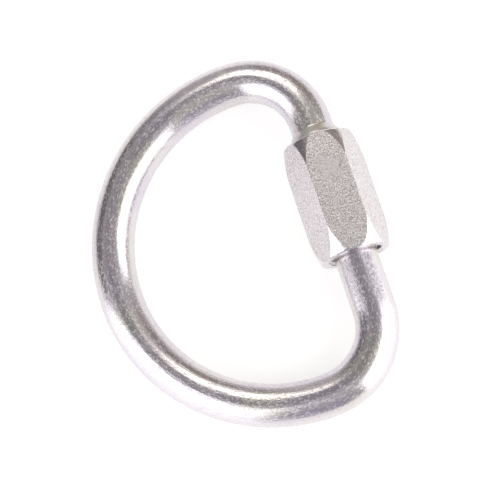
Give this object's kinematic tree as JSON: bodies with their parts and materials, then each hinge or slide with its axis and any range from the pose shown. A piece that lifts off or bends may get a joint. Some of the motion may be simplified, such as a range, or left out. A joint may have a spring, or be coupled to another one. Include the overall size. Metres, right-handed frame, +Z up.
{
  "type": "screw link",
  "caption": "D-shaped steel connecting link with a long hexagonal sleeve nut that screws across the gap in its straight side to lock it.",
  "frame": {"origin": "middle of the closed link's bounding box, in the plane of the bent bar", "axes": "+Y along the sleeve nut's axis towards the short threaded end, -X towards the middle of the round crown, +Z up when the link lies flat"},
  "size_m": [0.0688, 0.0868, 0.0174],
  "materials": {
    "plated_bar": "bright zinc plating over polished round steel bar",
    "plated_nut": "bright zinc plating over hexagonal steel bar, finely pitted flats"
  },
  "bodies": {
    "bar": {"link_bar": "plated_bar"},
    "nut": {"sleeve_nut": "plated_nut"}
  },
  "joints": [
    {"name": "nut_travel", "type": "slide", "parent": "bar", "child": "nut", "axis": [0, -1, 0], "range_m": [0, 0.015]}
  ]
}
